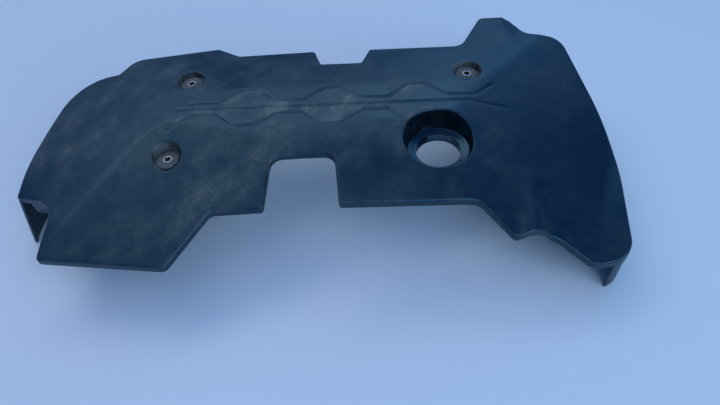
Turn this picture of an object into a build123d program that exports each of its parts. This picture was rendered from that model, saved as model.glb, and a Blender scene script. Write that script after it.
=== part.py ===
import os
from math import atan, cos, sin, sqrt

from build123d import *

os.makedirs("parts", exist_ok=True)

# Overall box; the part stands on z = 0 with the box centred on x = y = 0
overall_length = 690.0
overall_depth = 348.0
crown_height = 122.0

# Moulding
wall = 3.0
lip_depth = 9.0
edge_ease = 1.8
notch_return_depth = 25.0
foot_height = 39.0
foot_step = 1.0
rib_thickness = 2.0
rib_depth = 6.0

# U-notch in the front edge and notch in the rear edge
notch_centre = -4.0
notch_mouth = 80.0
notch_floor = 69.0
notch_reach = 57.0
rear_notch_centre = 34.0
rear_notch_mouth = 68.0
rear_notch_floor = 49.0
rear_notch_reach = 28.0

# Screw pockets, each with a rubber grommet and a steel sleeve
pocket_radius = 16.8
pocket_depth = 10.0
seat_thickness = 3.0
seat_hole_radius = 9.0
grommet_radius = 12.5
grommet_flange = 4.0
sleeve_radius = 5.3
sleeve_bore_radius = 3.2
sleeve_proud = 0.8

# Filler cup, whose floor turns down into a neck
filler_x = 143.0
filler_y = -46.5
filler_rim_radius = 38.5
filler_floor_radius = 33.5
filler_hole_radius = 24.5
filler_depth = 21.0
neck_depth = 11.0

# Level band across the deck and the grooves on it
band_centre = 10.5
band_half_width = 29.5
groove_centre = 6.5
wave_inner = 9.7
wave_outer = 29.5
wave_pitch = 97.0
wave_flat_inner = 30.0
wave_flat_outer = 21.0
groove_width = 3.0
groove_depth = 1.0

# Fall of the deck behind the band, and in front of it, where an arc carries it on down to the lip
rear_fall = 0.075
front_fall = 0.115
front_radius = 460.0
band_ease = 100.0

# Hose tunnel over the front right arch and valley beside the tongue
tunnel_radius = 28.0
tunnel_rise = 7.0
valley_radius = 12.0
valley_depth = 4.0
hollow_ease = 10.0

# Depth at which the places and slopes along y were drawn; another overall_depth stretches them
layout_depth = 348.0
stretch = overall_depth / layout_depth

left = -overall_length / 2
right = overall_length / 2
front = -layout_depth / 2
rear = layout_depth / 2
lip_y = front + 55.0
rear_y = rear - 63.0
band_rear = (band_centre + band_half_width) * stretch
band_front = (band_centre - band_half_width) * stretch
rear_slope = rear_fall / stretch
front_slope = front_fall / stretch
arc_radius = front_radius * stretch**2
flare_x = 9.0
flare_y = 12.0
left_rim = left + flare_x
ceiling = crown_height + 20.0
reach_x = overall_length / 2 + 30.0
reach_y = overall_depth / 2 + 30.0

# Tilted planes that cut the deck down: x, y and drop of one point, rise along x and y, crease radius
facets = {
    "right_end": (right - 147, band_centre + 28, 0.5, -0.310, 0.195, 40),
    "front_left": (left + 199, band_centre - 184.5, 52, 0.060, 0.325, 30),
    "upper_left": (left + 114, band_centre - 23, 15, 0.212, 0.092, 45),
    "lower_left": (left + 151, band_centre - 42, 9, 0.248, 0.176, 60),
}

pockets = {
    "rear_left": (left + 199.0, 59.5),
    "front_left": (left + 190.0, -53.5),
    "rear_right": (right - 162.0, 59.5),
}
rib_places = (left + 125.0, left + 245.0, right - 258.0, right - 115.0)


def plane_height(facet, x, y):
    anchor_x, anchor_y, drop, rise_x, rise_y, _ = facets[facet]
    return crown_height - drop + rise_x * (x - anchor_x) + rise_y * (y / stretch - anchor_y)


def crown(y):
    if y > band_rear:
        return crown_height - rear_slope * (y - band_rear)
    if y > band_front:
        return crown_height
    # arc that leaves the band's front edge at front_slope
    first = atan(front_slope)
    arc_y = band_front + arc_radius * sin(first)
    arc_z = crown_height - arc_radius * cos(first)
    return arc_z + sqrt(arc_radius**2 - (y - arc_y) ** 2)


def top_height(x, y):
    return min(crown(y), *(plane_height(facet, x, y) for facet in facets))


def inner_edges(face):
    # a face's edges that aren't on the sides of the deck block
    return [e for e in face.edges() if abs((e @ 0.5).X) < reach_x - 1 and abs((e @ 0.5).Y) < reach_y - 1]


def cut_by(block, facet):
    # cuts the block by one tilted plane and eases the crease that this leaves
    x, y, drop, rise_x, rise_y, ease = facets[facet]
    size = 4 * overall_length
    origin = (x, y * stretch, crown_height - drop)
    plane = Plane(origin=origin, x_dir=(1, 0, rise_x), z_dir=(-rise_x, -rise_y / stretch, 1))
    block -= plane * Pos(0, 0, size / 2) * Box(size, size, size)
    flats = block.faces().filter_by(GeomType.PLANE)
    cut = [f for f in flats if (f.normal_at() - plane.z_dir).length < 1e-5]
    return fillet(inner_edges(cut[0]), ease)


def sloped_rod(x, radius, flush, mouth, side):
    # round bar whose top (side 1) or bottom (side -1) line goes through the (y, z) points flush and mouth
    way = Vector(0, mouth[0] - flush[0], mouth[1] - flush[1])
    start = Vector(x, flush[0], flush[1] - side * radius) - way / 2
    return Plane(origin=start, z_dir=way) * Cylinder(
        radius, 2.5 * way.length, align=(Align.CENTER, Align.CENTER, Align.MIN)
    )


def rod_edges(block, radius):
    rods = [f for f in block.faces().filter_by(GeomType.CYLINDER) if abs(f.radius - radius) < 1e-6]
    return inner_edges(rods[0])


def deck_block():
    # crown profile carried along the length and cut by the tilted planes, with the hose tunnel and the valley
    behind = (reach_y, crown(reach_y))
    ahead = (-reach_y, crown(-reach_y))
    half_way = (band_front - reach_y) / 2
    arc = ThreePointArc((band_front, crown_height), (half_way, crown(half_way)), ahead)
    sides = Polyline([ahead, (-reach_y, -ceiling), (reach_y, -ceiling), behind, (band_rear, crown_height)])
    profile = make_face(arc + sides + Line((band_rear, crown_height), (band_front, crown_height)))
    bends = [v for v in profile.vertices() if band_front - 1 < v.X < band_rear + 1 and v.Y > 0]
    profile = Plane.YZ * fillet(bends, band_ease)
    block = Pos(-reach_x, 0, 0) * extrude(profile, amount=2 * reach_x, dir=(1, 0, 0))
    for facet in facets:
        block = cut_by(block, facet)
    x = right - 117
    start, end = (front + 80) * stretch, (front + 20) * stretch
    flush = (start, plane_height("right_end", x, start))
    mouth = (end, plane_height("right_end", x, end) + tunnel_rise)
    block += sloped_rod(x, tunnel_radius, flush, mouth, 1)
    # the block ends just ahead of the tunnel's mouth, so that the creases further on stay clear of it
    end = (front + 15) * stretch
    block -= Pos(x + 4, end - reach_y, 0) * Box(76, 2 * reach_y, 4 * ceiling)
    block = fillet([e for e in rod_edges(block, tunnel_radius) if (e @ 0.5).Y > end + 1], hollow_ease)
    x = right - 95
    start, end = (rear - 45) * stretch, (rear - 5) * stretch
    flush = (start, crown(start))
    mouth = (end, crown(end) - valley_depth)
    block -= sloped_rod(x, valley_radius, flush, mouth, -1)
    return fillet(rod_edges(block, valley_radius), hollow_ease)


def block_below(drop):
    return Pos(0, 0, -drop) * under_top


def placed(points):
    # laid-out (x, y) points at the overall depth
    return [(x, y * stretch) for x, y in points]


def outline(inset=0.0):
    # plan outline, corner by corner from the right of the U-notch round by the right end: x, y, corner radius
    corners = [
        (notch_centre + notch_mouth / 2, lip_y, 4),
        (right - 165, lip_y, 14),
        (right - 131.5, front + 21, 10),
        (right - 93, front + 32.3, 36),
        (right - 50, front + 2.8, 18),
        (right - 9.3, front + 11, 32),
        (right + 4.98, -10, 350),
        (right - 37, rear - 42, 20),
        (right - 84, rear - 42.3, 18),
        (right - 96, rear, 8),
        (right - 134.5, rear, 9),
        (right - 164, rear_y, 18),
        (rear_notch_centre + rear_notch_mouth / 2, rear_y, 4),
        (rear_notch_centre + rear_notch_floor / 2, rear_y - rear_notch_reach / stretch, 4),
        (rear_notch_centre - rear_notch_floor / 2, rear_y - rear_notch_reach / stretch, 4),
        (rear_notch_centre - rear_notch_mouth / 2, rear_y, 4),
        (left + 251, rear_y - 4, 6),
        (left + 222, rear - 49, 6),
        (left + 124, rear - 66, 22),
        (left + 102, rear - 89, 5),
        (left + 47, rear - 89, 58),
        (left_rim, -35, 150),
        (left_rim, front + 99, 4),
        (left + 62, front + 83, 34),
        (left + 59, front + 15.5, 4),
        (left + 201, front - 0.57, 10),
        (left + 244, lip_y, 10),
        (notch_centre - notch_mouth / 2, lip_y, 4),
        (notch_centre - notch_floor / 2, lip_y + notch_reach / stretch, 13),
        (notch_centre + notch_floor / 2, lip_y + notch_reach / stretch, 13),
    ]
    path = FilletPolyline(placed([c[:2] for c in corners]), radius=[c[2] for c in corners], close=True)
    plan = make_face(path)
    return offset(plan, -inset) if inset else plan


def prism(plan, bottom, top):
    return Pos(0, 0, bottom) * extrude(plan, amount=top - bottom, dir=(0, 0, 1))


def zone(points, bottom=-1.0, top=ceiling):
    return prism(make_face(Polyline(placed(points), close=True)), bottom, top)


def turned(profile, x, y, z):
    # a (radius, height) profile turned about the upright axis through a laid-out place
    return Pos(x, y * stretch, z) * revolve(make_face(Plane.XZ * Polyline(profile, close=True)), Axis.Z)


def wave(side):
    # trapezoid wave beside the centre groove; the front one starts a slope earlier and ends in the cup
    slope = (wave_pitch - wave_flat_inner - wave_flat_outer) / 2
    near = groove_centre * stretch + side * wave_inner
    far = groove_centre * stretch + side * wave_outer
    x = notch_centre - 18 - wave_pitch - wave_flat_inner / 2
    points = [(x - slope, far)] if side < 0 else []
    for _ in range(4 if side > 0 else 3):
        bend = x + wave_flat_inner
        points += [(x, near), (bend, near), (bend + slope, far), (bend + slope + wave_flat_outer, far)]
        x += wave_pitch
    return Polyline(points[:-1] if side > 0 else points)


print("top surface")
under_top = deck_block()

print("outer block with its eased top edge")
ring = outline() - outline(wall)
shell = prism(outline(), 0, ceiling) & under_top
sides = [f for f in shell.faces() if abs(f.normal_at().Z) < 1e-6]
rim = [e for f in sides for e in f.edges() if (e @ 0.5).Z > 1 and abs((e % 0.5).Z) < 0.9]
shell = chamfer(rim, edge_ease)

print("hollow")
inside = prism(outline(wall), -1, ceiling)
shell -= inside & block_below(wall)

print("open rim between the end skirts")
foot_zone = zone([(right - 27, front - 5), (right + 5, front - 5), (right + 5, 105), (right - 50, 105)])
notch_zone = zone(
    [
        (left + 5, front + 94),
        (left + 44, front + 94),
        (left + 72, front + 78),
        (left + 72, front + 40),
        (left + 40, front + 40),
    ]
)
shell -= block_below(lip_depth) - foot_zone - notch_zone
shell -= block_below(notch_return_depth) & notch_zone

print("left skirt, leaning out to its foot")
rim_height = top_height(left_rim, (front + 99) * stretch)
strip_points = [
    (left, front + 97),
    (left_rim + wall, front + 97),
    (left_rim + wall, -30),
    (left + 70, 50),
    (left, 28),
]
strip = ring & make_face(Polyline(placed(strip_points), close=True))
lean = Vector(flare_x, flare_y, rim_height)
skirt = extrude(Pos(-flare_x, -flare_y, 0) * strip, amount=lean.length * ceiling / rim_height, dir=lean)
shell += skirt & block_below(edge_ease + 0.6)

print("foot set in under its step")
shell -= prism(outline() - outline(foot_step), -1, foot_height) & zone(
    [(right - 60, front - 5), (right + 5, front - 5), (right + 5, front + 60), (right - 60, front + 60)]
)

print("ribs")
ribs = Part() + [Pos(x, 0, 0) * Box(rib_thickness, 2 * overall_depth, 4 * ceiling) for x in rib_places]
shell += (ribs & inside & block_below(wall - 0.5)) - block_below(wall + rib_depth)

print("filler cup")
cup_z = top_height(filler_x, filler_y * stretch) - filler_depth
cup = turned(
    [
        (0, -neck_depth),
        (filler_hole_radius + wall, -neck_depth),
        (filler_hole_radius + wall, -wall),
        (filler_rim_radius + wall, -wall),
        (filler_rim_radius + wall, filler_depth + 30),
        (0, filler_depth + 30),
    ],
    filler_x,
    filler_y,
    cup_z,
)
cup_room = turned(
    [
        (0, -2 * neck_depth),
        (filler_hole_radius, -2 * neck_depth),
        (filler_hole_radius, 0),
        (filler_floor_radius, 0),
        (filler_rim_radius, filler_depth),
        (filler_rim_radius, filler_depth + 40),
        (0, filler_depth + 40),
    ],
    filler_x,
    filler_y,
    cup_z,
)
shell = shell + (cup & block_below(0.5)) - cup_room

print("screw pockets, grommets and sleeves")
grommets = []
for name, (x, y) in pockets.items():
    seat = top_height(x, y * stretch) - pocket_depth
    boss = Pos(x, y * stretch, seat - seat_thickness) * Cylinder(
        pocket_radius + wall, 3 * pocket_depth, align=(Align.CENTER, Align.CENTER, Align.MIN)
    )
    room = turned(
        [
            (0, -2 * seat_thickness),
            (seat_hole_radius, -2 * seat_thickness),
            (seat_hole_radius, 0),
            (pocket_radius, 0),
            (pocket_radius, 3 * pocket_depth),
            (0, 3 * pocket_depth),
        ],
        x,
        y,
        seat,
    )
    shell = shell + (boss & block_below(0.5)) - room
    low = -seat_thickness - grommet_flange
    grommet = turned(
        [
            (sleeve_radius, low),
            (grommet_radius, low),
            (grommet_radius, -seat_thickness),
            (seat_hole_radius, -seat_thickness),
            (seat_hole_radius, 0),
            (grommet_radius, 0),
            (grommet_radius, grommet_flange),
            (sleeve_radius, grommet_flange),
        ],
        x,
        y,
        seat,
    )
    sleeve = turned(
        [
            (sleeve_bore_radius, low - sleeve_proud),
            (sleeve_radius, low - sleeve_proud),
            (sleeve_radius, grommet_flange + sleeve_proud),
            (sleeve_bore_radius, grommet_flange + sleeve_proud),
        ],
        x,
        y,
        seat,
    )
    grommets.append(grommet)
    export_step(sleeve, f"parts/sleeve_{name}.step")
export_step(Compound(grommets), "parts/grommets.step")

print("grooves of the band")
centre_groove = Polyline(placed([(left + 196, groove_centre), (right - 124, groove_centre)]))
paths = [centre_groove, wave(1), wave(-1)]
above_floor = Pos(0, 0, ceiling) * Box(2 * overall_length, 2 * overall_depth, ceiling)
above_floor -= block_below(groove_depth)
for path in paths:
    groove = make_face(offset(path, groove_width / 2, kind=Kind.INTERSECTION, side=Side.BOTH))
    shell -= prism(groove, 0, ceiling) & above_floor

print("solids", len(shell.solids()))
export_step(shell, "parts/cover_shell.step")
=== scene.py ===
import bmesh
import bpy
import numpy as np
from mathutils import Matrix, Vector
from mathutils.geometry import delaunay_2d_cdt


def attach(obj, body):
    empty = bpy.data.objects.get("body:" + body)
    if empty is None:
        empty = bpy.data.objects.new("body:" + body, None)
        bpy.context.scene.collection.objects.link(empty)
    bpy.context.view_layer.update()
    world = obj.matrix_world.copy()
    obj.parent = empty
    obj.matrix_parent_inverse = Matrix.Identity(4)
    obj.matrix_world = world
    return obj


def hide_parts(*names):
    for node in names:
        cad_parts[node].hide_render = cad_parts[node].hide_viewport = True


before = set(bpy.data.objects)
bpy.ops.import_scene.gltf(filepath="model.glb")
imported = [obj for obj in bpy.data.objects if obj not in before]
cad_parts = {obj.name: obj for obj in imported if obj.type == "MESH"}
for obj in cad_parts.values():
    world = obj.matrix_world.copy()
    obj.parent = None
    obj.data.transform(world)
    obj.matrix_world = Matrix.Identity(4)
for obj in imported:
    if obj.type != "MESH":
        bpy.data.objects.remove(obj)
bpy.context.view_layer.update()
print("frame loaded", sorted(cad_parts))

# the deck, in millimetres: its crown, the tilted planes that cut it down, the tunnel and the valley
deck = {
    "crown": 122.0,
    "bandCentre": 10.5,
    "bandHalf": 29.5,
    "rearFall": 0.075,
    "frontFall": 0.115,
    "frontRadius": 460.0,
    "frontLimit": 0.98,  # most of its radius that the front arc may reach
    "bandEase": 100.0,
    "facets": [  # x, y, drop of one point, rise along x and y, rounding of the crease
        (198.0, 38.5, 0.5, -0.310, 0.195, 2.7),
        (-146.0, -174.0, 52.0, 0.060, 0.325, 0.45),
        (-231.0, -12.5, 15.0, 0.212, 0.092, 1.2),
        (-194.0, -31.5, 9.0, 0.248, 0.176, 1.8),
    ],
    "tunnel": {"x": 228.0, "radius": 28.0, "from": -94.0, "mouth": -154.0, "rise": 7.0, "ease": 2.5},
    "valley": {"x": 250.0, "radius": 12.0, "from": 129.0, "mouth": 169.0, "depth": 4.0, "ease": 1.5},
}


# lower of two heights, rounded by a parabola where they are within ease of each other
def softMin(a, b, ease):
    near = np.clip(ease - np.abs(a - b), 0, None) / ease
    return np.minimum(a, b) - near * near * ease / 4


# ramp that is 0 below -width, t above width and a parabola between
def easedRamp(t, width):
    return np.where(t > width, t, np.where(t < -width, 0, (t + width) ** 2 / (4 * width)))


# level band, a straight fall behind it, and an arc in front of it that leaves the band at frontFall
def crownHeight(y):
    d = deck
    radius = d["frontRadius"]
    rearRun = easedRamp(y - d["bandCentre"] - d["bandHalf"], d["bandEase"] * d["rearFall"] / 2)
    frontRun = easedRamp(d["bandCentre"] - d["bandHalf"] - y, d["bandEase"] * d["frontFall"] / 2)
    first = np.arctan(d["frontFall"])
    reach = np.clip(frontRun + radius * np.sin(first), 0, radius * d["frontLimit"])
    frontDrop = radius * np.cos(first) - np.sqrt(radius**2 - reach**2)
    return d["crown"] - d["rearFall"] * rearRun - frontDrop


# plane through one point with a rise along x and along y
def planeHeight(facet, x, y):
    px, py, drop, riseX, riseY, _ = facet
    return deck["crown"] - drop + riseX * (x - px) + riseY * (y - py)


# round bar along y, from low to high: its back where side is 1, its belly where side is -1
def barHeight(bar, low, high, side, x, y):
    line = low + (high - low) * (y - bar["from"]) / (bar["mouth"] - bar["from"])
    across = np.sqrt(np.clip(bar["radius"] ** 2 - (x - bar["x"]) ** 2, 0, None))
    return line + side * (across - bar["radius"])


# lowest of the crown and the planes, with rounded creases; the tunnel's bar is added, and the valley's is
# cut away
def topHeight(x, y):
    x = np.asarray(x, float)
    y = np.asarray(y, float)
    h = crownHeight(y)
    for facet in deck["facets"]:
        h = softMin(h, planeHeight(facet, x, y), facet[5])
    t, v, flank = deck["tunnel"], deck["valley"], deck["facets"][0]
    low = planeHeight(flank, t["x"], t["from"])
    high = planeHeight(flank, t["x"], t["mouth"]) + t["rise"]
    h = -softMin(-h, -barHeight(t, low, high, 1, x, y), t["ease"])
    low = crownHeight(np.float64(v["from"]))
    high = crownHeight(np.float64(v["mouth"])) - v["depth"]
    return softMin(h, barHeight(v, low, high, -1, x, y), v["ease"])


# the band's grooves: a centre line and a trapezoid wave on each side of it
grooves = {
    "depth": 0.75,
    "halfWidth": 1.5,
    "soft": 0.9,
    "y": 6.5,
    "centre": (-149.0, 221.0),
    "waveStart": -134.0,
    "wavePitch": 97.0,
    "flatInner": 30.0,
    "flatOuter": 21.0,
    "waveInner": 9.7,
    "waveOuter": 29.5,
    "waves": 4,
    "pointStep": 1.6,
    "margin": 1.2,  # last row of points, outside the groove's edge
    "sameRow": 0.02,
}


# one trapezoid wave: flat near the centre line, slope, flat away from it, slope back; the front one starts
# a slope earlier and ends in the filler cup
def wavePath(side):
    g = grooves
    slope = (g["wavePitch"] - g["flatInner"] - g["flatOuter"]) / 2
    stepX = np.cumsum([0, g["flatInner"], slope, g["flatOuter"]])
    stepY = g["y"] + side * np.array([g["waveInner"], g["waveInner"], g["waveOuter"], g["waveOuter"]])
    count = g["waves"] if side > 0 else g["waves"] - 1
    x = (g["waveStart"] + np.arange(count)[:, None] * g["wavePitch"] + stepX).ravel()
    path = np.column_stack([x, np.tile(stepY, count)])
    return path[:-1] if side > 0 else np.vstack([(x[0] - slope, stepY[-1]), path])


groovePaths = [np.array([(x, grooves["y"]) for x in grooves["centre"]]), wavePath(1), wavePath(-1)]


# distance of each point to the nearest segment of a path
def pathDistance(points, path):
    a, b = path[:-1], path[1:]
    run = b - a
    t = np.clip(((points[:, None] - a) * run).sum(2) / (run * run).sum(1), 0, 1)
    return np.sqrt(((points[:, None] - a - t[..., None] * run) ** 2).sum(2)).min(1)


# groove floor with S-shaped sides: full depth inside halfWidth - soft, none outside halfWidth + soft
def grooveDrop(points):
    away = np.min([pathDistance(points, p) for p in groovePaths], axis=0)
    t = np.clip((grooves["halfWidth"] + grooves["soft"] - away) / (2 * grooves["soft"]), 0, 1)
    return grooves["depth"] * t * t * (3 - 2 * t), away


# points on lines beside each groove, so that the grid follows its floor and edges; where two segments meet,
# those that would fall between the rows are left out
def groovePoints():
    g = grooves
    inner = g["halfWidth"] - g["soft"]
    outer = g["halfWidth"] + g["soft"]
    last = outer + g["margin"]
    rows = []
    for path in groovePaths:
        for a, b in zip(path[:-1], path[1:]):
            length = np.hypot(*(b - a))
            way = (b - a) / length
            t = np.arange(g["pointStep"] / 2, length, g["pointStep"])[:, None]
            for off in (0, inner, -inner, outer, -outer, last, -last):
                rows.append(a + t * way + off * np.array([-way[1], way[0]]))
    points = np.vstack(rows)
    away = grooveDrop(points)[1]
    return points[np.abs(away[:, None] - np.array([0, inner, outer, last])).min(1) < g["sameRow"]]


# the crease between two of the deck's planes, which gets rows of points of its own
crease = {
    "planes": (1, 3),
    "from": -262.0,
    "to": -188.0,
    "pathStep": 36.0,
    "pointStep": 1.3,
    "rows": (0, 1.0, -1.0, 2.2, -2.2),
}


# line where the heights of the two planes are equal, and the unit vector across it
def creaseLine(step):
    (ax, ay, ad, au, av, _), (bx, by, bd, bu, bv, _) = [deck["facets"][i] for i in crease["planes"]]
    x = np.arange(crease["from"], crease["to"], step)
    y = ((bd - ad) + au * (x - ax) - bu * (x - bx) - av * ay + bv * by) / (bv - av)
    return np.column_stack([x, y]), np.array([bu - au, bv - av]) / np.hypot(bv - av, au - bu)


creasePath = creaseLine(crease["pathStep"])[0]


# rows of points on the crease and beside it
def creasePoints():
    line, across = creaseLine(crease["pointStep"])
    return np.vstack([line + off * across for off in crease["rows"]])


# plan outline, counter-clockwise from the right of the front notch: x, y, corner radius
outlineCorners = np.array([
    (36, -119, 4), (180, -119, 14), (213.5, -153, 10), (252, -141.7, 36),  # front right, tunnel mouth
    (295, -171.2, 18), (335.7, -163, 32), (349.98, -10, 350), (308, 132, 20),  # foot, right end
    (261, 131.7, 18), (249, 174, 8), (210.5, 174, 9), (181, 111, 18),  # tongue
    (68, 111, 4), (58.5, 83, 4), (9.5, 83, 4), (0, 111, 4),  # rear notch
    (-94, 107, 6), (-123, 125, 6), (-221, 108, 22), (-243, 85, 5), (-298, 85, 58),  # rear left
    (-336, -35, 150), (-336, -75, 4), (-283, -91, 34), (-286, -158.5, 4),  # left end, arch
    (-144, -174.57, 10), (-101, -119, 10), (-44, -119, 4), (-38.5, -62, 13), (30.5, -62, 13),  # front notch
])
shell = {
    "edgeRadius": 2.2,
    "edgeRows": 6,
    "wall": 3.0,
    "wallRows": (0.4, 0.6),  # two rows on the outer wall, as shares of its height
    "lipDepth": 9.0,
    "returnDepth": 25.0,
    "lowEase": (0.25, 0.8),  # rounding of the lower edge, outside
    "innerEase": 0.6,
    "fillet": (0.15, 0.6),  # inner wall to underside
    "footHeight": 39.0,
    "footStep": 1.0,
    "footEase": (0.5, 0.3),  # rise and fall of the step
    "footCorner": (285.0, -114.0),  # the step lies right of this and in front of it
    "lean": (-9.0, -12.0),
    "zones": {  # stretches of the rim that differ from the plain lip
        "foot": [(318, -179), (350, -179), (350, 105), (295, 105)],
        "skirt": [(-350, -77), (-333, -77), (-333, -30), (-275, 50), (-350, 27)],
        "return": [(-340, -80), (-301, -80), (-273, -96), (-273, -134), (-305, -134)],
    },
    "stationStep": 3.0,
    "arcStep": 0.16,  # radians at most
    "arcSteps": 4,  # at least
    "splitHalf": 0.1,  # half the gap where the kind of rim changes
}
sheet = {
    "topGrid": 3.2,
    "underGrid": 6.5,
    "rowHeight": 0.866,  # of a triangle whose sides are 1
    "borderGap": 0.45,  # share of the grid left free along the borders
    "lineGap": 3.4,  # left free along grooves and crease
    "chunks": 12,  # parts of the grid measured at a time
    "close": 1e-7,  # points nearer than this are one
}


# unit vectors from each corner of a closed outline to the one before it and to the one after it
def cornerWays(xy):
    ways = [np.roll(xy, shift, 0) - xy for shift in (1, -1)]
    return [way / np.hypot(*way.T)[:, None] for way in ways]


# each corner becomes an arc tangent to its two sides, and each side a row of points; returns places and
# inward normals
def outlineStations():
    step = shell["stationStep"]
    xy = outlineCorners[:, :2]
    back, ahead = cornerWays(xy)
    half = np.arccos(np.clip((back * ahead).sum(1), -1, 1)) / 2
    turn = np.sign(-back[:, 0] * ahead[:, 1] + back[:, 1] * ahead[:, 0])  # 1 where the outline turns left
    radius = outlineCorners[:, 2]
    start = xy + back * (radius / np.tan(half))[:, None]
    end = xy + ahead * (radius / np.tan(half))[:, None]
    places, normals = [], []
    for i in range(len(xy)):
        sweep = np.pi - 2 * half[i]
        steps = [np.ceil(sweep / shell["arcStep"]), np.ceil(sweep * radius[i] / step)]
        count = int(max(shell["arcSteps"], *steps))
        first = np.arctan2(-back[i, 0], back[i, 1])
        angle = first + turn[i] * np.linspace(0, sweep, count + 1)
        n = np.column_stack([np.cos(angle), np.sin(angle)])
        centre = start[i] + turn[i] * radius[i] * n[0]
        places.append(centre - turn[i] * radius[i] * n)
        normals.append(n)
        side = start[(i + 1) % len(xy)] - end[i]
        inner = max(0, int(np.hypot(*side) / step) - 1)
        t = (np.arange(1, inner + 1) / (inner + 1))[:, None]
        places.append(end[i] + t * side)
        normals.append(np.repeat(n[-1:], inner, 0))
    return np.vstack(places), np.vstack(normals)


# which points lie inside a polygon, by counting the edges that a ray to the right crosses
def inside(points, polygon):
    polygon = np.asarray(polygon, float)
    a, b = polygon, np.roll(polygon, -1, 0)
    y = points[:, 1:2]
    spans = (a[:, 1] > y) != (b[:, 1] > y)
    with np.errstate(divide="ignore", invalid="ignore"):
        cross = a[:, 0] + (y - a[:, 1]) * (b[:, 0] - a[:, 0]) / (b[:, 1] - a[:, 1])
    return (spans & (points[:, :1] < cross)).sum(1) % 2 == 1


# quads between neighbouring rows of a grid that closes on itself along its rows
def ringFaces(rings, count):
    i = np.arange(rings - 1)[:, None] * count
    j = np.arange(count)
    k = (j + 1) % count
    return np.stack([i + j, i + k, i + count + k, i + count + j], 2).reshape(-1, 4)


# flat triangulation inside an outer loop and outside round holes, filled with a staggered grid of points;
# fine points take the grid's place along the grooves and the crease
def fillSheet(loop, holes, spacing, finePoints=None):
    low, high = loop.min(0), loop.max(0)
    gx = np.arange(low[0], high[0], spacing)
    gy = np.arange(low[1], high[1], spacing * sheet["rowHeight"])
    grid = np.stack(np.meshgrid(gx, gy), 2)
    grid[1::2, :, 0] += spacing / 2
    grid = grid.reshape(-1, 2)
    if finePoints is not None:
        away = np.min([pathDistance(grid, p) for p in groovePaths + [creasePath]], axis=0)
        grid = np.vstack([grid[away > grooves["halfWidth"] + sheet["lineGap"]], finePoints])
    keep = inside(grid, loop)
    border = np.vstack([loop] + holes)
    for part in np.array_split(np.arange(len(grid)), sheet["chunks"]):
        gap = np.hypot(grid[part, None, 0] - border[:, 0], grid[part, None, 1] - border[:, 1]).min(1)
        keep[part] &= gap > spacing * sheet["borderGap"]
    for hole in holes:
        keep &= ~inside(grid, hole)
    points = np.vstack([border, grid[keep]])
    edges, first = [], 0
    for ring in [loop] + holes:
        j = np.arange(len(ring))
        edges.append(np.column_stack([j, (j + 1) % len(ring)]) + first)
        first += len(ring)
    out = delaunay_2d_cdt(points.tolist(), np.vstack(edges).tolist(), [], 1, sheet["close"], False)
    flat = np.array(out[0], float)
    tris = np.array(out[2])
    middle = flat[tris].mean(1)
    for hole in holes:
        tris = tris[~inside(middle, hole)]
        middle = flat[tris].mean(1)
    return flat, tris[inside(middle, loop)]


pockets = {
    "places": [(-146.0, 59.5), (-155.0, -53.5), (183.0, 59.5)],
    "names": ["RearLeft", "FrontLeft", "RearRight"],
    "nodes": ["sleeve_rear_left", "sleeve_front_left", "sleeve_rear_right"],
    "radius": 16.8,
    "depth": 10.0,
    "seat": 3.0,
    "hole": 9.0,
    "edge": 1.3,
    "fillet": (0.35, 1.2),  # wall to seat: its middle and its ends
    "holeEase": 0.5,
    "holeLowEase": 0.4,
    "bossEase": 0.6,
    "segments": 112,
}
filler = {
    "place": (143.0, -46.5),
    "rim": 38.5,
    "floor": 33.5,
    "hole": 24.5,
    "depth": 21.0,
    "neck": 11.0,
    "edge": 1.8,
    "fillet": [(0.35, 1.8), (-0.1, 0.6), (-1.3, 0.0)],  # wall to floor, from the floor's edge
    "holeEdge": [(1.4, 0.0), (0.4, -0.4), (0.0, -1.4)],
    "neckEase": 0.5,
    "underEase": 0.6,
    "segments": 168,
}
underFillet = [(0.0, 0.9), (0.3, 0.3), (0.9, 0.0)]  # a cup's outer wall to the underside: outwards, down


# a cup turned about an upright axis: rounded rim on the deck, wall, floor with a hole, outer wall back up to
# the underside
def cupSurface(place, segments, edge, rimAt, lower, outerRadius):
    angle = np.linspace(0, 2 * np.pi, segments, endpoint=False)
    way = np.column_stack([np.cos(angle), np.sin(angle)])
    rim = rimAt(way)
    rows = []
    for phi in np.linspace(0, np.pi / 2, shell["edgeRows"]):
        xy = np.array(place) + way * (rim + edge * (1 - np.sin(phi)))[:, None]
        rows.append(np.column_stack([xy, topHeight(*xy.T) - edge * (1 - np.cos(phi))]))
    for radius, z in lower:
        xy = np.array(place) + way * radius
        rows.append(np.column_stack([xy, np.full(segments, z)]))
    for out, down in underFillet:
        xy = np.array(place) + way * (outerRadius + out)
        rows.append(np.column_stack([xy, topHeight(*xy.T) - (shell["wall"] + down)]))
    return np.array(rows)


# height of a pocket's seat, and of its underside
def seatHeights(place):
    seat = float(topHeight(*place)) - pockets["depth"]
    return seat, seat - pockets["seat"]


# pocket: straight wall, small fillet, seat ring, hole, boss
def pocketSurface(place):
    p = pockets
    seat, low = seatHeights(place)
    radius, hole, boss = p["radius"], p["hole"], p["radius"] + shell["wall"]
    middle, fillet = p["fillet"]
    lower = [
        (radius, seat + fillet), (radius - middle, seat + middle), (radius - fillet, seat),
        (hole + p["holeEase"], seat), (hole, seat - p["holeEase"]),
        (hole, low + p["holeLowEase"]), (hole + p["holeLowEase"], low),
        (boss - p["bossEase"], low), (boss, low + p["bossEase"]),
    ]
    return cupSurface(place, p["segments"], p["edge"], lambda way: np.full(len(way), radius), lower, boss)


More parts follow.
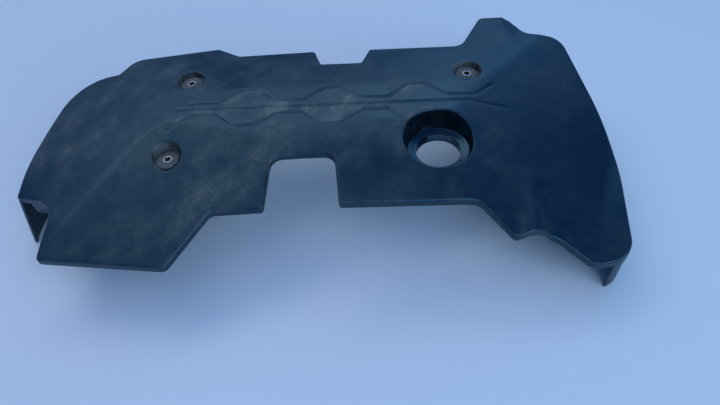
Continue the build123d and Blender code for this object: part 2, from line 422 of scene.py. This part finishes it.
# filler cup: tapered wall, floor ring, neck that goes down from it
def fillerSurface():
    f = filler
    base = float(topHeight(*f["place"])) - f["depth"]
    low = base - shell["wall"]
    outer = f["rim"] + shell["wall"]
    neck = f["hole"] + shell["wall"]
    mouth = base - f["neck"]
    ease, underEase = f["neckEase"], f["underEase"]

    # radius of the tapered wall at the height where it meets the deck
    def rimAt(way):
        z = topHeight(*(np.array(f["place"]) + way * f["rim"]).T)
        return f["floor"] + (f["rim"] - f["floor"]) * np.clip((z - base) / f["depth"], 0, 1)

    lower = [(f["floor"] + out, base + up) for out, up in f["fillet"]]
    lower += [(f["hole"] + out, base + up) for out, up in f["holeEdge"]]
    lower += [(f["hole"], mouth + ease), (f["hole"] + ease, mouth)]
    lower += [(neck - ease, mouth), (neck, mouth + ease)]
    lower += [(neck, low - underEase), (neck + underEase, low)]
    lower += [(outer - underEase, low), (outer, low + underEase)]
    return cupSurface(f["place"], f["segments"], f["edge"], rimAt, lower, outer)


# mesh object from blocks of vertices and faces in millimetres: equal places welded, normals outwards, smooth
# up to an angle, with one number per vertex for each kind of paint
def meshPiece(name, blocks, sharpAngle=38, paint=None):
    verts, faces, first = [], [], 0
    for v, f in blocks:
        verts.append(np.asarray(v, float).reshape(-1, 3))
        faces.append(np.asarray(f) + first)
        first += len(verts[-1])
    verts = np.vstack(verts)
    _, kept, back = np.unique(np.round(verts, 3), axis=0, return_index=True, return_inverse=True)
    back = back.ravel()
    loops = []
    for f in faces:
        f = back[f]
        doubled = f == np.roll(f, -1, 1)
        loops += f[~doubled.any(1)].tolist()
        if f.shape[1] == 4:  # a quad with one doubled corner is a triangle
            short = doubled.sum(1) == 1
            loops += f[short][~doubled[short]].reshape(-1, 3).tolist()
    mesh = bpy.data.meshes.new(name)
    mesh.from_pydata((verts[kept] * 0.001).tolist(), [], loops)
    work = bmesh.new()
    work.from_mesh(mesh)
    bmesh.ops.recalc_face_normals(work, faces=work.faces)
    work.to_mesh(mesh)
    work.free()
    mesh.polygons.foreach_set("use_smooth", np.ones(len(mesh.polygons), bool))
    mesh.set_sharp_from_angle(angle=np.radians(sharpAngle))
    for layerName, values in (paint or {}).items():
        layer = mesh.attributes.new(layerName, "FLOAT", "POINT")
        layer.data.foreach_set("value", np.concatenate(values)[kept].astype(np.float32))
    piece = bpy.data.objects.new(name, mesh)
    bpy.context.scene.collection.objects.link(piece)
    print(name, len(mesh.vertices), "vertices", sum(len(p) - 2 for p in loops), "triangles")
    return piece


# places where the kind of rim changes get two stations close together, one of each kind
def splitStations(places, normals, kind):
    change = np.nonzero(kind != np.roll(kind, -1))[0]
    ahead = np.roll(places, -1, 0)
    way = ahead[change] - places[change]
    way /= np.hypot(*way.T)[:, None]
    way *= shell["splitHalf"]
    middle = (places[change] + ahead[change]) / 2
    pairs = np.stack([middle - way, middle + way], 1).reshape(-1, 2)
    sides = np.stack([kind[change], np.roll(kind, -1)[change]], 1).ravel()
    at = np.repeat(change + 1, 2)
    normals = np.insert(normals, at, np.repeat(normals[change], 2, 0), 0)
    return np.insert(places, at, pairs, 0), normals, np.insert(kind, at, sides)


# rim profile carried round the outline: quarter round, outer wall, foot step, lower edge, inner wall, fillet
# to the underside
def rimSurface(places, normals, kind):
    s = shell
    r, wall, innerEase = s["edgeRadius"], s["wall"], s["innerEase"]
    lowMiddle, lowEase = s["lowEase"]
    filletMiddle, fillet = s["fillet"]
    zRim = topHeight(*places.T)
    stands = (kind == "foot") | (kind == "skirt")
    depth = np.where(kind == "return", s["returnDepth"], s["lipDepth"])
    stepped = (kind == "foot") & (places[:, 0] > s["footCorner"][0]) & (places[:, 1] < s["footCorner"][1])
    step = np.where(stepped, s["footStep"], 0.0)
    rows = []

    # the outline's places moved inwards
    def insetPlaces(inset):
        return places + normals * np.broadcast_to(inset, len(places))[:, None]

    # height of the deck at those places
    def deckAt(inset):
        return topHeight(*insetPlaces(inset).T)

    # lower edge: on the floor under the foot and the skirt, one depth below the deck elsewhere
    def bottom(inset):
        return np.where(stands, 0.0, deckAt(inset) - depth)

    # one row of the profile; the skirt leans more the lower it is
    def addRow(inset, z):
        share = np.where(kind == "skirt", np.clip((zRim - r - z) / (zRim - r), 0, 1), 0)
        rows.append(np.column_stack([insetPlaces(inset) + share[:, None] * np.array(s["lean"]), z]))

    for phi in np.linspace(0, np.pi / 2, s["edgeRows"]):
        inset = r * (1 - np.sin(phi))
        addRow(inset, deckAt(inset) - r * (1 - np.cos(phi)))
    low = bottom(0.0)
    upperRow, lowerRow = [zRim - r + share * (low - zRim + r) for share in s["wallRows"]]
    addRow(0.0, np.where(stepped, s["footHeight"] + s["footEase"][0], upperRow))
    addRow(step, np.where(stepped, s["footHeight"] - s["footEase"][1], lowerRow))
    addRow(step, low + lowEase)
    addRow(step + lowMiddle, bottom(step + lowMiddle) + lowMiddle)
    addRow(step + lowEase, bottom(step + lowEase))
    addRow(wall - innerEase, bottom(wall - innerEase))
    innerLow = bottom(wall)
    innerTop = deckAt(wall) - wall
    addRow(wall, innerLow + innerEase)
    addRow(wall, (innerLow + innerTop) / 2)
    addRow(wall, innerTop - innerEase)
    addRow(wall + filletMiddle, deckAt(wall + filletMiddle) - wall - filletMiddle)
    addRow(wall + fillet, deckAt(wall + fillet) - wall)
    return np.array(rows)


ribs = {
    "places": (-220.0, -100.0, 87.0, 230.0),
    "thickness": 2.0,
    "depth": 6.0,
    "sink": 0.5,  # into the wall
    "endGap": 1.5,
    "points": 60,
}


# a thin bar under the deck at one x: its four long edges follow the underside from rim to rim
def ribSurface(x, places):
    a, b = places, np.roll(places, -1, 0)
    hit = (a[:, 0] > x) != (b[:, 0] > x)
    t = (x - a[hit, 0]) / (b[hit, 0] - a[hit, 0])
    y = a[hit, 1] + t * (b[hit, 1] - a[hit, 1])
    count = ribs["points"]
    line = np.linspace(y.min() + ribs["endGap"], y.max() - ribs["endGap"], count)
    half = ribs["thickness"] / 2
    under = topHeight(np.full(count, x), line) - shell["wall"]
    high = under + ribs["sink"]
    deep = under - ribs["depth"]
    edges = ((-half, high), (half, high), (half, deep), (-half, deep))
    rows = [np.column_stack([np.full(count, x + dx), line, z]) for dx, z in edges]
    grid = np.array(rows).transpose(1, 0, 2)
    caps = np.arange(4) + np.array([[0], [4 * (count - 1)]])
    return grid.reshape(-1, 3), np.vstack([ringFaces(count, 4), caps])


# film of dust as it settled: more on the band and left of the notch, less towards the right end; it also
# holds a painted highlight along one crease and painted shade in the grooves
film = {
    "base": 0.30,
    "spots": [  # x, y, radius along x and y, amount
        (-92.0, -82.0, 46.0, 36.0, 0.40),
        (-210.0, -20.0, 70.0, 60.0, 0.22),
        (-20.0, -35.0, 60.0, 18.0, 0.20),
        (-225.0, -128.0, 60.0, 40.0, -0.04),
        (-262.0, 25.0, 34.0, 30.0, 0.30),
        (-110.0, 4.0, 40.0, 20.0, 0.35),
        (120.0, -90.0, 80.0, 30.0, -0.18),
        (290.0, -60.0, 100.0, 150.0, -0.27),
    ],
    "band": 0.95,
    "bandEnd": 215.0,
    "bandFade": 90.0,
    # a lighter line along one crease, carried as dust: a painted highlight
    "crease": 0.5,
    "creaseHighlightWidth": 4.2,
    # less dust in the grooves, so that they are darker: painted shade
    "groove": 0.6,
    "most": 1.6,
    "under": 0.1,
    "return": 1.0,
}
rowPaint = {  # row numbers of a block, counted from the deck, and the paint there
    # the rim's top and lower edges are lighter: partly rubbed wear, partly painted highlight
    "rimWearAndHighlight": ([0, 1, 3, 5, 8, 9, 10, 11], [0.0, 0.7, 0.6, 0.0, 0.0, 0.9, 0.9, 0.0]),
    "pocketDust": ([0, 3, 5, 9, 14], [0.6, 1.2, 2.0, 2.0, 0.1]),
    "pocketWear": ([0, 2, 4, 6], [0.0, 0.5, 0.5, 0.0]),
    "fillerDust": ([0, 3, 5], [0.3, 0.1, 0.0]),
    "fillerWear": ([0, 2, 4, 6, 9, 10, 11, 12], [0.0, 0.4, 0.4, 0.0, 0.0, 0.7, 0.7, 0.0]),
    "fillerGloss": ([2, 5, 7, 8, 9, 11, 16], [0.0, 1.0, 1.0, 0.35, 0.35, 1.0, 0.3]),
}


# base amount, plus soft spots, plus more between the two waves of the band, plus a thin lighter line along
# the crease as a painted highlight; less in the grooves, which darkens them as painted shade
def dustAndPaintedLight(points):
    x, y = points[:, 0], points[:, 1]
    amount = np.full(len(points), film["base"])
    for px, py, rx, ry, share in film["spots"]:
        amount += share * np.exp(-((x - px) / rx) ** 2 - ((y - py) / ry) ** 2)
    between = inside(points, np.vstack([groovePaths[1], groovePaths[2][::-1]]))
    amount += film["band"] * between * np.clip((film["bandEnd"] - x) / film["bandFade"], 0, 1)
    # painted highlight: a lighter line along the crease
    away = pathDistance(points[:, :2], creasePath)
    amount += film["crease"] * np.clip(1 - away / film["creaseHighlightWidth"], 0, 1)
    # painted shade: the grooves get less dust and so are darker
    lessInGrooves = 1 - film["groove"] * grooveDrop(points[:, :2])[0] / grooves["depth"]
    return np.clip(amount, 0, film["most"]) * lessInGrooves


# paint of a block of rows: the value of each row, read between the numbers of a table
def paintRows(block, table):
    return np.repeat(np.interp(np.arange(len(block)), *rowPaint[table]), block.shape[1])


print("cover skin")
places, normals = outlineStations()
kind = np.full(len(places), "lip", "<U6")
for name, zone in shell["zones"].items():
    kind[inside(places, zone)] = name
places, normals, kind = splitStations(places, normals, kind)
rim = rimSurface(places, normals, kind)
cups = [pocketSurface(p) for p in pockets["places"]] + [fillerSurface()]
finePoints = np.vstack([groovePoints(), creasePoints()])
topFlat, topTris = fillSheet(rim[0][:, :2], [c[0][:, :2] for c in cups], sheet["topGrid"], finePoints)
underFlat, underTris = fillSheet(rim[-1][:, :2], [c[-1][:, :2] for c in cups], sheet["underGrid"])
top = np.column_stack([topFlat, topHeight(*topFlat.T) - grooveDrop(topFlat)[0]])
under = np.column_stack([underFlat, topHeight(*underFlat.T) - shell["wall"]])
blocks = []
paint = {"dust": [], "wearAndHighlight": [], "gloss": []}


# adds a block to the skin with its three kinds of paint, each one number or a value for every vertex
def addBlock(verts, faces, dust, wearAndHighlight=0.0, gloss=0.0):
    blocks.append((verts, faces))
    for layer, value in zip(paint.values(), (dust, wearAndHighlight, gloss)):
        layer.append(np.broadcast_to(value, verts.size // 3))


addBlock(top, topTris, dustAndPaintedLight(top))
addBlock(under, underTris, film["under"])
outside = np.repeat(np.arange(len(rim)) < shell["edgeRows"], len(places))
innerDust = np.tile(np.where(kind == "return", film["return"], film["under"]), len(rim))
rimDust = np.where(outside, dustAndPaintedLight(rim.reshape(-1, 3)), innerDust)
addBlock(rim, ringFaces(*rim.shape[:2]), rimDust, paintRows(rim, "rimWearAndHighlight"))
for cup in cups[:-1]:
    addBlock(cup, ringFaces(*cup.shape[:2]), paintRows(cup, "pocketDust"), paintRows(cup, "pocketWear"))
cup = cups[-1]
fillerPaint = [paintRows(cup, table) for table in ("fillerDust", "fillerWear", "fillerGloss")]
addBlock(cup, ringFaces(*cup.shape[:2]), *fillerPaint)
for x in ribs["places"]:
    verts, faces = ribSurface(x, places)
    addBlock(verts, faces, dustAndPaintedLight(verts))
skin = meshPiece("cover_skin", blocks, paint=paint)
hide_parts("cover_shell")
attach(skin, "root")


# a closed (radius, height) profile turned about an upright axis
def turnedBlock(place, profile, segments):
    angle = np.linspace(0, 2 * np.pi, segments, endpoint=False)
    profile = np.vstack([profile, profile[:1]])
    x = place[0] + profile[:, :1] * np.cos(angle)
    y = place[1] + profile[:, :1] * np.sin(angle)
    z = np.broadcast_to(profile[:, 1:], x.shape)
    return np.stack([x, y, z], 2), ringFaces(len(profile), segments)


# rounds each corner of a closed (radius, height) profile by a parabola that starts its own ease before it
def roundedProfile(corners, steps=4):
    corners = np.asarray(corners, float)
    xy, ease = corners[:, :2], corners[:, 2:]
    back, ahead = cornerWays(xy)
    t = np.linspace(0, 1, steps + 1)[None, :, None]
    a = (xy + back * ease)[:, None]
    b = (xy + ahead * ease)[:, None]
    return ((1 - t) ** 2 * a + 2 * t * (1 - t) * xy[:, None] + t**2 * b).reshape(-1, 2)


grommet = {
    "radius": 12.5,
    "flange": 4.0,
    "edge": 0.9,
    "waistEdge": 0.2,
    "seatEdge": 0.4,
    "boreEdge": 0.3,
    "segments": 96,
}
sleeve = {"radius": 5.3, "bore": 3.2, "proud": 0.8, "edge": 0.3, "boreEdges": (0.35, 0.45)}


# rubber ring with a flange above and below its seat, all edges rounded
def grommetBlock(place):
    g = grommet
    seat, low = seatHeights(place)
    top, base = seat + g["flange"], low - g["flange"]
    outer, waist, bore = g["radius"], pockets["hole"], sleeve["radius"]
    profile = roundedProfile([
        (bore, base, g["boreEdge"]), (outer, base, g["edge"]),
        (outer, low, g["seatEdge"]), (waist, low, g["waistEdge"]),
        (waist, seat, g["waistEdge"]), (outer, seat, g["seatEdge"]),
        (outer, top, g["edge"]), (bore, top, g["boreEdge"]),
    ])
    return turnedBlock(place, profile, g["segments"])


# steel tube a little longer than the grommet, with eased ends
def sleeveBlock(place):
    s = sleeve
    seat, low = seatHeights(place)
    base = low - grommet["flange"] - s["proud"]
    top = seat + grommet["flange"] + s["proud"]
    profile = roundedProfile([
        (s["bore"], base, s["boreEdges"][0]), (s["radius"], base, s["edge"]),
        (s["radius"], top, s["edge"]), (s["bore"], top, s["boreEdges"][1]),
    ])
    return turnedBlock(place, profile, grommet["segments"])


print("grommets and sleeves")
rubber = meshPiece("rubber_grommets", [grommetBlock(p) for p in pockets["places"]])
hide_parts("grommets")
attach(rubber, "root")
sleeves = []
for place, name, node in zip(pockets["places"], pockets["names"], pockets["nodes"]):
    tube = meshPiece("steel_sleeve_" + name, [sleeveBlock(place)])
    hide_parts(node)
    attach(tube, "root")
    sleeves.append(tube)


# a new material with its shader's constant sockets set from a dictionary; returns it, its tree and the shader
def newMaterial(name, sockets):
    material = bpy.data.materials.new(name)
    material.use_nodes = True
    shader = material.node_tree.nodes["Principled BSDF"]
    for key, value in sockets.items():
        shader.inputs[key].default_value = value
    return material, material.node_tree, shader


# one node with its inputs set or linked: a value sets a socket, a socket links to it
def addNode(tree, nodeType, inputs=None, **settings):
    node = tree.nodes.new(nodeType)
    for key, value in settings.items():
        setattr(node, key, value)
    for key, value in (inputs or {}).items():
        if isinstance(value, bpy.types.NodeSocket):
            tree.links.new(value, node.inputs[key])
        else:
            node.inputs[key].default_value = value
    return node


# value of one paint layer of the mesh
def paintValue(tree, name):
    return addNode(tree, "ShaderNodeAttribute", attribute_name=name).outputs["Fac"]


# places on the piece
def ownPlace(tree):
    return addNode(tree, "ShaderNodeTexCoord").outputs["Object"]


# product of two numbers
def timesNode(tree, a, b):
    return addNode(tree, "ShaderNodeMath", {0: a, 1: b}, operation="MULTIPLY").outputs[0]


# sum of two numbers
def plusNode(tree, a, b):
    return addNode(tree, "ShaderNodeMath", {0: a, 1: b}, operation="ADD").outputs[0]


# a number moved from one range to another and kept inside it
def rangeNode(tree, value, low, high, newLow=0.0, newHigh=1.0):
    inputs = {"Value": value, "From Min": low, "From Max": high, "To Min": newLow, "To Max": newHigh}
    return addNode(tree, "ShaderNodeMapRange", inputs).outputs["Result"]


# noise over the piece's own places, turned about z and stretched by a scale on each axis
def noiseNode(tree, place, scale, detail, rough, stretch=(1, 1, 1), turn=0.0):
    inputs = {"Vector": place, "Rotation": (0, 0, turn), "Scale": [1 / s for s in stretch]}
    mapped = addNode(tree, "ShaderNodeMapping", inputs, vector_type="TEXTURE").outputs["Vector"]
    inputs = {"Vector": mapped, "Scale": scale, "Detail": detail, "Roughness": rough}
    return addNode(tree, "ShaderNodeTexNoise", inputs).outputs["Fac"]


# a layer of a look: its noise moved to its own range
def layerNode(tree, place, layer):
    noise, span = layer
    return rangeNode(tree, noiseNode(tree, place, *noise), *span)


# a where factor is 0 and b where it is 1
def mixNode(tree, factor, a, b, kindOfData="RGBA"):
    inputs = {"Factor": factor, "A": a, "B": b}
    return addNode(tree, "ShaderNodeMix", inputs, data_type=kindOfData).outputs["Result"]


# colour and roughness of a shader, and a bump from a height
def finishShader(tree, shader, colour, rough, height, strength, distance):
    tree.links.new(colour, shader.inputs["Base Color"])
    tree.links.new(rough, shader.inputs["Roughness"])
    bump = addNode(tree, "ShaderNodeBump", {"Height": height, "Strength": strength, "Distance": distance})
    tree.links.new(bump.outputs["Normal"], shader.inputs["Normal"])


# each layer: noise scale, detail, roughness, stretch and turn; then the noise's range and the new one
plastic = {
    # the faint blue of the black and the blue tint of the reflections are painted light: a blue cast and a
    # painted reflection of a blue sky
    "black": (0.0026, 0.0060, 0.0085, 1),
    "dust": (0.150, 0.142, 0.118, 1),
    # pale grey of rubbed edges, also used as a painted edge highlight
    "bareAndHighlight": (0.14, 0.14, 0.135, 1),
    "paintedSkyTint": (0.28, 0.70, 0.98, 1),
    "shine": 0.92,
    "cloud": ((17.0, 8.0, 0.66), (0.40, 0.66, 0.02, 1.9)),
    "streak": ((30.0, 6.0, 0.64, (1.7, 0.8, 1.0), -0.35), (0.36, 0.66, 0.5, 1.4)),
    "smear": ((26.0, 6.0, 0.64, (0.8, 1.6, 1.0), 0.75), (0.40, 0.68, 0.5, 1.65)),
    "speck": ((480.0, 3.0, 0.7), (0.48, 0.72, 0.0, 0.7)),
    "wearAndHighlightNoise": ((55.0, 5.0, 0.7), (0.47, 0.68)),
    "veil": 0.39,  # share of the dust that isn't specks
    "bareAndHighlightShare": 0.6,
    "rough": (0.36, 0.55),  # clean, dusty
    "roughFrom": 0.6,  # dust that is rough in full
    "roughCloud": (-0.05, 0.05),
    "roughGloss": 0.09,
    "grain": (1500.0, 2.0, 0.5),
    "grainStrength": 0.10,
    "grainDepth": 0.0004,
}


# black plastic with a faint blue cast and blue-tinted reflections, both painted light of a blue sky: painted
# film times cloudy, streaky and speckled noise as dust, with a painted crease highlight and painted groove
# shade in it, rubbed edges that are partly painted highlight, gloss in the filler cup, fine moulded grain
def plasticMaterial():
    p = plastic
    # blue tint on the reflections: a painted reflection of a blue sky
    sockets = {"Specular Tint": p["paintedSkyTint"], "Specular IOR Level": p["shine"]}
    material, tree, shader = newMaterial("dusty_black_plastic", sockets)
    place = ownPlace(tree)
    layers = ("cloud", "streak", "smear", "speck", "wearAndHighlightNoise")
    cloud, streak, smear, speck, wearAndHighlightNoise = [layerNode(tree, place, p[layer]) for layer in layers]
    # the dust layer also holds the painted crease highlight and the painted shade of the grooves
    settled = timesNode(tree, paintValue(tree, "dust"), cloud)
    veil = timesNode(tree, settled, timesNode(tree, streak, smear))
    dust = plusNode(tree, timesNode(tree, veil, p["veil"]), timesNode(tree, veil, speck))
    dust = rangeNode(tree, dust, 0.0, 1.0)
    # lighter edges: partly rubbed wear, partly painted highlight
    wornAndHighlit = timesNode(tree, timesNode(tree, paintValue(tree, "wearAndHighlight"), wearAndHighlightNoise), p["bareAndHighlightShare"])
    colour = mixNode(tree, wornAndHighlit, mixNode(tree, dust, p["black"], p["dust"]), p["bareAndHighlight"])
    dustRough = rangeNode(tree, dust, 0.0, p["roughFrom"], *p["rough"])
    cloudRough = rangeNode(tree, cloud, *p["cloud"][1][2:], *p["roughCloud"])
    gloss = paintValue(tree, "gloss")
    rough = mixNode(tree, gloss, plusNode(tree, dustRough, cloudRough), p["roughGloss"], "FLOAT")
    grain = noiseNode(tree, place, *p["grain"])
    strength = rangeNode(tree, gloss, 0.0, 1.0, p["grainStrength"], 0.0)
    finishShader(tree, shader, colour, rough, grain, strength, p["grainDepth"])
    return material


rubberLook = {
    "dark": (0.030, 0.030, 0.029, 1),
    "pale": (0.165, 0.162, 0.150, 1),
    "cloud": (160.0, 5.0, 0.6),
    "cloudDust": (0.30, 0.72, 0.25, 0.85),
    "cloudRough": (0.3, 0.7, 0.70, 0.90),
    "speck": ((900.0, 2.0, 0.6), (0.52, 0.72, 0.0, 0.5)),
    "bumpStrength": 0.25,
    "bumpDepth": 0.0006,
}


# dusty rubber: dark and pale mixed by cloudy noise and specks, matt, with a soft bump
def rubberMaterial():
    r = rubberLook
    material, tree, shader = newMaterial("dusty_rubber", {})
    place = ownPlace(tree)
    cloud = noiseNode(tree, place, *r["cloud"])
    dust = plusNode(tree, rangeNode(tree, cloud, *r["cloudDust"]), layerNode(tree, place, r["speck"]))
    colour = mixNode(tree, rangeNode(tree, dust, 0.0, 1.0), r["dark"], r["pale"])
    rough = rangeNode(tree, cloud, *r["cloudRough"])
    finishShader(tree, shader, colour, rough, cloud, r["bumpStrength"], r["bumpDepth"])
    return material


steelLook = {
    "bright": (0.44, 0.43, 0.41, 1),
    "dull": (0.20, 0.19, 0.17, 1),
    "cloud": ((420.0, 5.0, 0.65), (0.36, 0.66)),
    "marks": (300.0, 3.0, 0.5, (0.3, 0.3, 14.0)),
    "marksRough": (0.3, 0.7, 0.26, 0.48),
    "bumpStrength": 0.12,
    "bumpDepth": 0.0003,
}


# plated steel: dull and bright mixed by noise, fine turning marks as noise squeezed along the axis
def steelMaterial():
    s = steelLook
    material, tree, shader = newMaterial("plated_steel", {"Metallic": 1.0})
    place = ownPlace(tree)
    marks = noiseNode(tree, place, *s["marks"])
    colour = mixNode(tree, layerNode(tree, place, s["cloud"]), s["bright"], s["dull"])
    rough = rangeNode(tree, marks, *s["marksRough"])
    finishShader(tree, shader, colour, rough, marks, s["bumpStrength"], s["bumpDepth"])
    return material


print("materials")
skin.data.materials.append(plasticMaterial())
rubber.data.materials.append(rubberMaterial())
steel = steelMaterial()
for tube in sleeves:
    tube.data.materials.append(steel)

print("floor, light and camera")
stage = {"colour": (0.88, 0.89, 0.90, 1), "rough": 0.4, "half": 4.0}
half = stage["half"]
floorMesh = bpy.data.meshes.new("floor")
floorCorners = [(-half, -half, 0), (half, -half, 0), (half, half, 0), (-half, half, 0)]
floorMesh.from_pydata(floorCorners, [], [(0, 1, 2, 3)])
floor = bpy.data.objects.new("floor", floorMesh)
bpy.context.scene.collection.objects.link(floor)
floorSockets = {"Base Color": stage["colour"], "Roughness": stage["rough"]}
floorMesh.materials.append(newMaterial("pale_floor", floorSockets)[0])

light = {
    "sky": (0.10, 0.36, 1.0, 1),
    "skyStrength": 0.45,
    "panels": [  # place, width, height, radiance, colour
        ((-0.80, 1.24, 1.90), 2.9, 0.75, 1.45, (0.96, 1.0, 0.99)),
        ((0.85, 1.55, 1.40), 1.5, 0.9, 1.10, (0.35, 0.66, 1.0)),
        ((-0.45, -0.35, 2.25), 2.4, 1.6, 0.36, (1.0, 0.95, 0.85)),
        ((1.20, -1.75, 1.35), 2.6, 1.8, 2.0, (0.56, 0.78, 1.0)),
        ((-1.60, 1.60, 1.60), 1.8, 1.2, 0.28, (1.0, 0.95, 0.85)),
    ],
}
world = bpy.data.worlds.new("sky")
bpy.context.scene.world = world
world.use_nodes = True
sky = world.node_tree.nodes["Background"]
sky.inputs["Color"].default_value = light["sky"]
sky.inputs["Strength"].default_value = light["skyStrength"]


# flat soft panel that faces the part; its power is radiance times pi times its area
def panelLamp(name, place, width, height, radiance, colour):
    lamp = bpy.data.lights.new(name, "AREA")
    lamp.shape = "RECTANGLE"
    lamp.size = width
    lamp.size_y = height
    lamp.color = colour
    lamp.energy = radiance * np.pi * width * height
    panel = bpy.data.objects.new(name, lamp)
    panel.location = place
    panel.rotation_euler = Vector(place).to_track_quat("Z", "Y").to_euler()
    bpy.context.scene.collection.objects.link(panel)


for number, panel in enumerate(light["panels"]):
    panelLamp("soft_panel_%d" % number, *panel)

view = {
    "place": (0.0885, -0.5045, 0.575),
    "angles": (38.983, 3.211, 0.581),  # degrees about x, y and z
    "lens": 30.0,
    "sensor": 36.0,
    "near": 0.01,
}
camera = bpy.data.cameras.new("camera")
camera.lens = view["lens"]
camera.sensor_width = view["sensor"]
camera.clip_start = view["near"]
cameraObject = bpy.data.objects.new("camera", camera)
cameraObject.location = view["place"]
cameraObject.rotation_euler = np.radians(view["angles"])
bpy.context.scene.collection.objects.link(cameraObject)
bpy.context.scene.camera = cameraObject
bpy.context.scene.view_settings.view_transform = "Standard"
